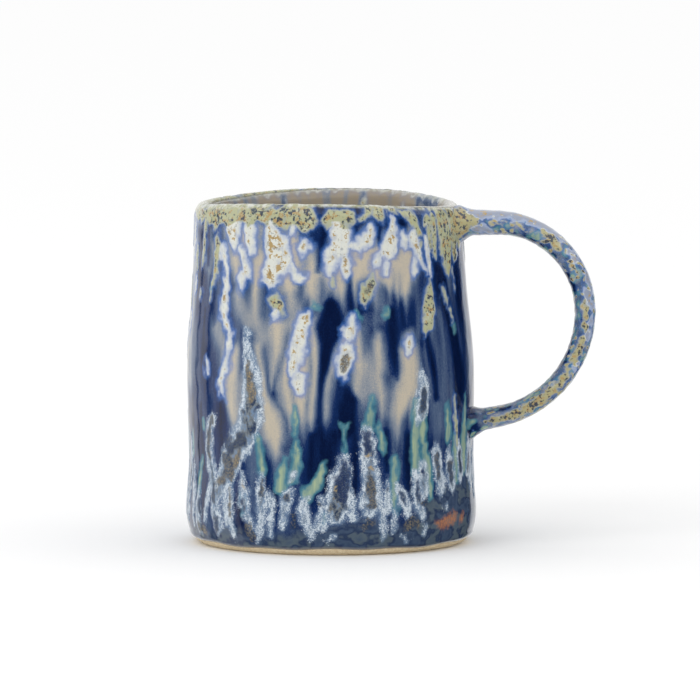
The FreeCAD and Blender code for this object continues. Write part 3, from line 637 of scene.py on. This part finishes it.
def liner_fields(bare):
    """The lip dips at the sides, so heights are counted from its own crest."""
    across = np.broadcast_to(degrees, bare.shape[:2]) * TURN / 360.0 + 0.8 * wobble(bare, (5, 5, 9), 13)
    up = bare[..., 2] + (LINER_CREST - wall_top)
    cream = run_field(around(LINER_CREAM), across, up + 0.6 * wobble(bare, (3, 3, 4), 14))
    navy = run_field(around(fading(LINER_NAVY, 14.0, -1.2)), across, up)
    high = ease((bare[..., 2] - 55.0) / 40.0)
    depth = 1.0 - 0.25 * high * inside(wobble(bare, (5, 5, 30), 15) * 2.0 - 1.2, 2.0)
    fields = empty_fields(across.shape)
    fields["depth"] = depth * (1.0 - 0.5 * inside(navy, 2.6))
    fields["cream"] = cream - 0.2
    fields["tone"] = np.full(across.shape, 0.4)
    fields["lip"] = 0.35 * near_crest(bare)
    return fields


def liner_coat():
    bare, out = liner_skin()
    front = bare + out * (GLAZE + 0.05 * wobble(bare, (5, 5, 8), 16))[..., None]
    picks = np.linspace(0, len(bare) - 1, LINER_BACK_ROWS).astype(int)
    rows = np.concatenate([front[::-1], (bare - out * SINK)[picks]])
    fields = liner_fields(bare)
    fields = {name: np.concatenate([values[::-1], values[picks]]) for name, values in fields.items()}
    return shell("liner_glaze_coat", rows, fields, True)


# Handle's coat
def handle_point(s):
    """(x, z, direction of the outer face) at this distance along the handle's centre line."""
    if s < ROOT_LENGTH:
        return ROOT_X + s, HANDLE_TOP, math.pi / 2.0
    if s < ROOT_LENGTH + UPPER_LENGTH:
        turn = math.pi / 2.0 - (s - ROOT_LENGTH) / UPPER_ARC
        return UPPER_X + UPPER_ARC * math.cos(turn), ARC_HEIGHT + UPPER_ARC * math.sin(turn), turn
    turn = -min((s - ROOT_LENGTH - UPPER_LENGTH) / LOWER_ARC, LOWER_SWEEP)
    x, z = LOWER_X + LOWER_ARC * math.cos(turn), ARC_HEIGHT + LOWER_ARC * math.sin(turn)
    rest = max(s - ROOT_LENGTH - UPPER_LENGTH - LOWER_LENGTH, 0.0)
    return x - rest * math.sin(LOWER_SWEEP), z - rest * math.cos(LOWER_SWEEP), turn


def handle_size(share):
    """(thickness, width) of the clay this share of the way along."""
    shares, thicks, wides = zip(*SECTIONS)
    k = min(int(np.searchsorted(shares, share, "right")) - 1, len(shares) - 2)
    blend = float(ease((share - shares[k]) / (shares[k + 1] - shares[k])))
    return thicks[k] + (thicks[k + 1] - thicks[k]) * blend, wides[k] + (wides[k + 1] - wides[k]) * blend


def handle_ring(s, turns):
    """One ring of places round the handle's coat, and the ways out of it."""
    x, z, face = handle_point(s)
    thick, wide = handle_size(s / HANDLE_LENGTH)
    skin_x, flare = (UPPER_SKIN_X, UPPER_FLARE) if s < HANDLE_LENGTH / 2 else (LOWER_SKIN_X, LOWER_FLARE)
    near = min(max(1.0 - (x - skin_x) / FLARE_LENGTH, 0.0), 1.0)
    grow = near ** 2.4
    extra = 0.3 * float(ease(near * 1.5))
    sizes = zip((thick, thick, wide), flare)
    outer, inner, half = (size / 2 + GLAZE + extra + grow * more for size, more in sizes)
    c, w = np.cos(turns), np.sin(turns)
    away = np.array((math.cos(face), 0.0, math.sin(face)))
    far = np.where(c > 0, outer, inner) * c
    ring = np.array((x, 0.0, z)) + far[:, None] * away + (-half * w)[:, None] * SIDEWAYS
    out = c[:, None] * away / outer + (-w)[:, None] * SIDEWAYS / half
    return ring, out / np.linalg.norm(out, axis=1, keepdims=True)


def handle_fields(rows, path, turns):
    shape = rows.shape[:2]
    along = np.broadcast_to(path[:, None], shape) + 0.6 * wobble(rows, (4, 4, 4), 21)
    from_outer = HALF_ROUND * (1.0 - np.abs(1.0 - turns / math.pi))
    aside = np.broadcast_to(from_outer, shape) + 0.5 * wobble(rows, (3, 3, 3), 22)
    spots = 1.5 * wobble(rows, (2.6, 2.6, 2.6), 26) - 0.95
    near_end = ease((along - (HANDLE_LENGTH - 9.0)) / 4.0)
    olive = np.maximum(run_field(HANDLE_OLIVE, along, aside), spots) - 1.5 * near_end
    # The lavender is a painted highlight along the handle's outer side.
    lit_lavender = run_field(HANDLE_LIT_LAVENDER, along, aside)
    # This navy is painted shade on the handle's inner side, and pooled glaze round its lower end.
    navy = run_field(HANDLE_NAVY_AND_SHADE, along, aside)
    crease = ease((along - (HANDLE_LENGTH - 7.0)) / 3.0)
    depth = 0.56 + 0.16 * wobble(rows, (5, 5, 5), 23)
    depth = depth * (1.0 - 0.8 * crease)
    fields = empty_fields(shape)
    fields["depth"] = depth * (1.0 - 0.85 * inside(navy, 1.8))
    fields["cream"] = np.maximum(olive, lit_lavender)
    fields["tone"] = np.where(olive > lit_lavender, 1.0, -1.0) * ease(np.abs(olive - lit_lavender) * 2)
    fields["teal"] = 1.6 * wobble(rows, (4, 4, 4), 27) - 1.2
    return fields


def handle_coat():
    path = np.linspace(HANDLE_START, HANDLE_LENGTH, int(HANDLE_LENGTH / HANDLE_STEP))
    turns = np.linspace(0.0, 2 * math.pi, HANDLE_ROUND, endpoint=False)
    rows, outs = (np.array(part) for part in zip(*(handle_ring(s, turns) for s in path)))
    fields = handle_fields(rows, path, turns)
    bump = 0.06 * inside(fields["cream"], 1.0) + 0.04 * wobble(rows, (3.5, 3.5, 3.5), 24)
    bump = bump + 0.015 * wobble(rows, (1.5, 1.5, 1.5), 25)
    return shell("handle_glaze_coat", rows + outs * bump[..., None], fields, True)


# Materials
class Graph:
    """Short names for the shader nodes that the glazes are mixed from."""

    def __init__(self, name):
        self.material = bpy.data.materials.new(name)
        self.material.use_nodes = True
        self.tree = self.material.node_tree
        self.shader = self.tree.nodes["Principled BSDF"]
        self.place = self.tree.nodes.new("ShaderNodeTexCoord").outputs["Object"]

    def feed(self, socket, value):
        if isinstance(value, bpy.types.NodeSocket):
            self.tree.links.new(value, socket)
        else:
            socket.default_value = value

    def field(self, name):
        node = self.tree.nodes.new("ShaderNodeAttribute")
        node.attribute_name = name
        return node.outputs["Fac"]

    def calc(self, operation, a, b=0.0, c=0.0):
        node = self.tree.nodes.new("ShaderNodeMath")
        node.operation = operation
        for socket, value in zip(node.inputs, (a, b, c)):
            self.feed(socket, value)
        return node.outputs[0]

    def step(self, value, low, high):
        """0 below low, 1 above high, smooth between."""
        node = self.tree.nodes.new("ShaderNodeMapRange")
        node.interpolation_type = "SMOOTHSTEP"
        for socket, number in zip(node.inputs, (value, low, high, 0.0, 1.0)):
            self.feed(socket, number)
        return node.outputs[0]

    def stretched(self, size, tall):
        """Place in units of size mm, with heights divided by tall as well."""
        node = self.tree.nodes.new("ShaderNodeMapping")
        self.feed(node.inputs["Vector"], self.place)
        node.inputs["Scale"].default_value = (1 / MM / size, 1 / MM / size, 1 / MM / size / tall)
        return node.outputs[0]

    def noise(self, size, tall=1.0, detail=3.0, rough=0.55):
        node = self.tree.nodes.new("ShaderNodeTexNoise")
        self.feed(node.inputs["Vector"], self.stretched(size, tall))
        node.inputs["Scale"].default_value = 1.0
        node.inputs["Detail"].default_value = detail
        node.inputs["Roughness"].default_value = rough
        return node.outputs["Fac"]

    def cells(self, size, tall=1.0):
        node = self.tree.nodes.new("ShaderNodeTexVoronoi")
        self.feed(node.inputs["Vector"], self.stretched(size, tall))
        node.inputs["Scale"].default_value = 1.0
        return node.outputs["Distance"]

    def mix(self, share, a, b):
        node = self.tree.nodes.new("ShaderNodeMix")
        node.data_type = "RGBA"
        for socket, value in zip((node.inputs[0], node.inputs[6], node.inputs[7]), (share, a, b)):
            self.feed(socket, linear(value) if isinstance(value, tuple) else value)
        return node.outputs[2]

    def ramp(self, share, *stops):
        node = self.tree.nodes.new("ShaderNodeValToRGB")
        self.feed(node.inputs[0], share)
        marks = node.color_ramp.elements
        for _ in stops[2:]:
            marks.new(0.5)
        for mark, (position, colour) in zip(marks, stops):
            mark.position = position
            mark.color = linear(colour)
        return node.outputs[0]

    def bump(self, height, far):
        node = self.tree.nodes.new("ShaderNodeBump")
        node.inputs["Distance"].default_value = far * MM
        self.feed(node.inputs["Height"], height)
        self.feed(self.shader.inputs["Normal"], node.outputs[0])

    def add(self, *terms):
        """The sum of values and of (value, factor) pairs."""
        total = 0.0
        for term in terms:
            value, factor = term if isinstance(term, tuple) else (term, 1.0)
            total = self.calc("MULTIPLY_ADD", value, factor, total)
        return total


class Glaze(Graph):
    """A reactive glaze, with the noises that its layers share."""

    def __init__(self, name):
        super().__init__(name)
        self.streak, self.fine = self.noise(1.5, 7.0), self.noise(0.55)
        self.medium, self.broad = self.noise(1.3), self.noise(3.2)
        self.grain, self.crystal = self.noise(0.3, 1.0, 2.0), self.cells(0.85, 1.6)
        self.rough_edge = self.add((self.fine, 0.7), (self.medium, 1.2), -0.95)
        self.smooth_edge = self.add((self.fine, 0.3), self.medium, -0.65)

    def lay(self, over, share, *others):
        """Lays a colour over, by the product of the shares."""
        for other in others:
            share = self.calc("MULTIPLY", share, other)
        self.colour = self.mix(share, self.colour, over)


def lay_ground(g, tan):
    """The ground that every other layer lies on: tan and grey runs that melt into navy."""
    depth = g.add(g.field("depth"), (g.streak, 0.22), (g.grain, 0.45), -0.335)
    g.colour = g.ramp(depth, (0.0, NAVY_BLACK), (0.24, NAVY_BLUE), (0.5, SLATE), (0.74, GREY_GLAZE),
                      (1.0, tan))


def lay_foot(g):
    """Mottled slate at the foot."""
    cloud = g.add(g.noise(6.0, 0.8, 2.0), (g.medium, 0.12), -0.06)
    mottle = g.ramp(cloud, (0.22, FOOT_NAVY), (0.42, FOOT_SLATE), (0.5, FOOT_NAVY), (0.58, FOOT_GREEN),
                    (0.76, FOOT_SLATE))
    g.lay(mottle, g.field("foot"), 0.9)


def lay_teal(g):
    """Teal runs with pale streaks inside."""
    teal = g.calc("ADD", g.field("teal"), g.smooth_edge)
    g.lay(TEAL_GREEN, g.step(teal, -1.3, 0.0), 0.75)
    pale = g.add((g.streak, 1.9), -0.3)
    g.lay(PALE_GREEN, g.step(teal, -0.25, 0.8), pale)


def lay_cream(g, olive, patch, broken, glow):
    """Cream and olive with their halo and veins."""
    tone = g.field("tone")
    cream = g.add(g.field("cream"), (g.smooth_edge, 0.65), (g.noise(patch), broken), -0.62 * broken)
    halo = g.add(cream, (tone, -0.7))
    g.lay(HALO_BLUE, g.step(halo, -2.4, -0.6), glow)
    g.lay(HALO_LAVENDER, g.step(halo, -1.2, 0.1), 1.25 * glow)
    uneven = g.add(tone, (g.broad, 1.6), -0.8)
    glass = g.ramp(g.add((uneven, 0.5), 0.5), (0.15, LAVENDER), (0.48, CREAM_GLAZE),
                   (0.66, CREAM_GLAZE), (0.95, olive))
    g.lay(glass, g.step(cream, -0.8, 0.8))
    veins = g.step(g.noise(1.1, 5.0), 0.54, 0.68)
    g.lay(HALO_BLUE, g.step(cream, -0.5, 0.5), veins, 0.25 * glow)
    lay_specks(g, cream, tone)


def lay_specks(g, cream, tone):
    """Ochre specks and ink dots in the cream and olive."""
    patchy = g.noise(3.5)
    speck = g.add(g.noise(1.7), (g.fine, 0.4), (patchy, 0.4), (tone, 0.02), -0.4)
    g.lay(OCHRE, g.step(cream, 0.2, 1.1), g.step(speck, 0.53, 0.62))
    dot = g.add(g.noise(1.1), (patchy, 0.45), (tone, 0.07), -0.2)
    ink = g.add((tone, 0.55), 0.35)
    g.lay(INK, g.step(cream, 0.1, 0.8), g.step(dot, 0.61, 0.72), ink)


def lay_frost(g):
    """White crystal rims about a dark, mottled middle. Returns how far inside a frosted run it is."""
    frost = g.add(g.field("frost"), (g.rough_edge, 0.9), -0.3)
    cloud = g.add(g.noise(1.7, 1.5), (g.fine, 0.4), -0.2)
    marrow = g.ramp(cloud, (0.36, INK), (0.5, FROST_GREY), (0.62, FROST_BLUE))
    g.lay(marrow, g.step(frost, -0.3, 0.7), 0.8)
    rim = g.calc("SUBTRACT", 1.0, g.calc("ABSOLUTE", g.add(frost, -0.35)))
    g.lay(FROST_BLUE, g.step(rim, -0.8, 0.6), 0.6)
    powder = g.add((g.grain, 1.6), (g.fine, 0.9), (g.crystal, 0.3), -1.25)
    white = g.add((rim, 0.6), (powder, 1.7), (g.broad, 1.6), -0.9)
    g.lay(FROST_WHITE, g.step(white, 0.15, 1.15))
    return frost


def lay_cores(g):
    """Dark cores with crystals in them."""
    core = g.add(g.field("core"), g.rough_edge, (g.crystal, -0.4), 0.35)
    shade = g.add(g.field("core_tone"), (g.fine, 1.3), -0.65)
    heart = g.ramp(shade, (0.0, NAVY_BLUE), (0.3, INK), (0.6, BROWN), (1.0, OCHRE))
    crystals = g.step(g.add(g.grain, (g.fine, 0.5)), 0.56, 0.76)
    thin = g.calc("MULTIPLY_ADD", crystals, 0.55, 0.4)
    g.lay(heart, g.step(core, -0.5, 0.6), thin)


def lay_rust(g):
    rust = g.add(g.field("rust"), (g.rough_edge, 1.2), (g.broad, 1.5), -0.5)
    thin = g.calc("MULTIPLY_ADD", g.step(g.fine, 0.38, 0.6), 0.5, 0.4)
    g.lay(RUST_GLAZE, g.step(rust, -1.0, 1.2), thin)


def lay_ends(g):
    """The brown lower edge and the lip's crest."""
    g.lay(EDGE_BROWN, g.field("edge"), 0.8)
    crest = g.mix(g.step(g.medium, 0.4, 0.62), OLIVE_GLAZE, CREAM_GLAZE)
    g.lay(crest, g.field("lip"), g.step(g.broad, 0.25, 0.5))


def set_gloss(g, frost):
    """Frost is duller and grainier than the rest."""
    frosted = g.step(frost, -0.2, 0.6)
    g.feed(g.shader.inputs["Roughness"], g.add((frosted, 0.22), (g.fine, 0.06), 0.09))
    g.shader.inputs["Specular IOR Level"].default_value = 0.42
    g.bump(g.add((g.calc("MULTIPLY", frosted, g.grain), 0.9), (g.broad, 0.5)), 0.035)


def glaze_material(name, tan, olive, patch, broken, glow):
    """Noise of patch mm breaks the cream up by broken mm, and glow is how strong its halo is."""
    g = Glaze(name)
    lay_ground(g, tan)
    lay_foot(g)
    lay_teal(g)
    lay_cream(g, olive, patch, broken, glow)
    frost = lay_frost(g)
    lay_cores(g)
    lay_rust(g)
    lay_ends(g)
    set_gloss(g, frost)
    g.feed(g.shader.inputs["Base Color"], g.colour)
    return g.material


def clay_material():
    g = Graph("bare_stoneware_clay")
    grit, grain = g.noise(0.9, 1.0, 4.0), g.noise(0.28, 1.0, 3.0)
    colour = g.mix(g.step(grit, 0.35, 0.7), CLAY_BUFF, CLAY_DARK)
    colour = g.mix(g.step(grain, 0.66, 0.74), colour, EDGE_BROWN)
    g.feed(g.shader.inputs["Base Color"], colour)
    g.feed(g.shader.inputs["Roughness"], g.add((grain, 0.2), 0.72))
    g.bump(g.add((grit, 0.5), (grain, 0.5)), 0.09)
    return g.material


def plain_material(name, colour, rough):
    g = Graph(name)
    g.feed(g.shader.inputs["Base Color"], linear(colour))
    g.shader.inputs["Roughness"].default_value = rough
    g.shader.inputs["Specular IOR Level"].default_value = 0.0
    return g.material


for coat, make, tones in (("outer_glaze", body_coat, (TAN_GLAZE, OLIVE_GLAZE, 2.6, 1.5, 0.6)),
                          # The liner's tan has painted shade in it: the tan glaze made darker inside the
                          # mug.
                          ("liner_glaze", liner_coat, (SHADED_LINER_TAN, OLIVE_GLAZE, 2.0, 1.6, 0.15)),
                          ("handle_glaze", handle_coat, (TAN_GLAZE, HANDLE_OCHRE, 2.0, 4.0, 0.55))):
    piece = make()
    piece.data.materials.append(glaze_material(coat + "_reactive", *tones))
    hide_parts(coat)
bare_clay = clay_material()
for node in ("wall", "floor", "handle", "upper_joint", "lower_joint"):
    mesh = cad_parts[node].data
    if not mesh.materials:
        mesh.materials.append(bare_clay)
    for k in range(len(mesh.materials)):
        mesh.materials[k] = bare_clay


# Studio, in metres
def staged(name, verts, faces, material):
    mesh = bpy.data.meshes.new(name)
    mesh.from_pydata(verts, [], faces)
    mesh.materials.append(material)
    thing = bpy.data.objects.new(name, mesh)
    bpy.context.scene.collection.objects.link(thing)
    return thing


corners = np.linspace(0, 2 * math.pi, FLOOR_SIDES, endpoint=False)
rim = [(FLOOR_RADIUS * math.cos(t), FLOOR_RADIUS * math.sin(t), 0.0) for t in corners]
pale = plain_material("pale_floor", (252, 252, 252), 0.9)
floor = staged("floor_disc", rim, [tuple(range(FLOOR_SIDES))], pale)
floor.visible_glossy = False


def toward(azimuth, far, height):
    """A place far metres from the mug, azimuth degrees anticlockwise of the camera as seen from above."""
    turn = math.radians(VIEW_AZIMUTH + azimuth)
    return (far * math.sin(turn), -far * math.cos(turn), height)


def dark_card(name, low_azimuth, high_azimuth, low, high, material):
    """A curved card that shows only in the mug's reflections."""
    steps = np.linspace(low_azimuth, high_azimuth, CARD_POSTS)
    verts = [toward(a, CARD_DISTANCE, z) for z in (low, high) for a in steps]
    faces = [(i, i + 1, i + 1 + CARD_POSTS, i + CARD_POSTS) for i in range(CARD_POSTS - 1)]
    card = staged(name, verts, faces, material)
    card.visible_camera = card.visible_diffuse = card.visible_shadow = False


black = plain_material("black_card", (6, 7, 12), 1.0)
dark_card("front_card", -78.0, 148.0, -4.0, 1.1, black)
dark_card("left_card", -118.0, -111.0, -1.2, 0.6, black)
dark_card("left_card_narrow", -138.0, -134.0, -1.2, 0.6, black)

world = bpy.data.worlds.new("studio")
bpy.context.scene.world = world
world.use_nodes = True
world.node_tree.nodes["Background"].inputs["Color"].default_value = (1.0, 1.0, 1.0, 1.0)
world.node_tree.nodes["Background"].inputs["Strength"].default_value = 1.0


def soft_light(name, azimuth, far, height, size, power):
    lamp = bpy.data.lights.new(name, "AREA")
    lamp.size = size
    lamp.energy = power
    light = bpy.data.objects.new(name, lamp)
    light.location = toward(azimuth, far, height)
    light.rotation_euler = (Vector((0, 0, 0.05)) - light.location).to_track_quat("-Z", "Y").to_euler()
    light.visible_glossy = False
    bpy.context.scene.collection.objects.link(light)


soft_light("key", azimuth=-40.0, far=1.6, height=1.1, size=1.0, power=6.0)

turn, rise = math.radians(VIEW_AZIMUTH), math.radians(VIEW_ELEVATION)
aim = Vector((AIM_RIGHT * math.cos(turn), AIM_RIGHT * math.sin(turn), AIM_HEIGHT))
away = Vector((math.sin(turn) * math.cos(rise), -math.cos(turn) * math.cos(rise), math.sin(rise)))
lens = bpy.data.cameras.new("camera")
lens.sensor_width = SENSOR
lens.lens = SENSOR * VIEW_DISTANCE / VIEW_WIDTH
lens.clip_end = 60.0
camera = bpy.data.objects.new("camera", lens)
camera.location = aim + away * VIEW_DISTANCE
camera.rotation_euler = away.to_track_quat("Z", "Y").to_euler()
bpy.context.scene.collection.objects.link(camera)
bpy.context.scene.camera = camera
bpy.context.scene.view_settings.view_transform = "Standard"
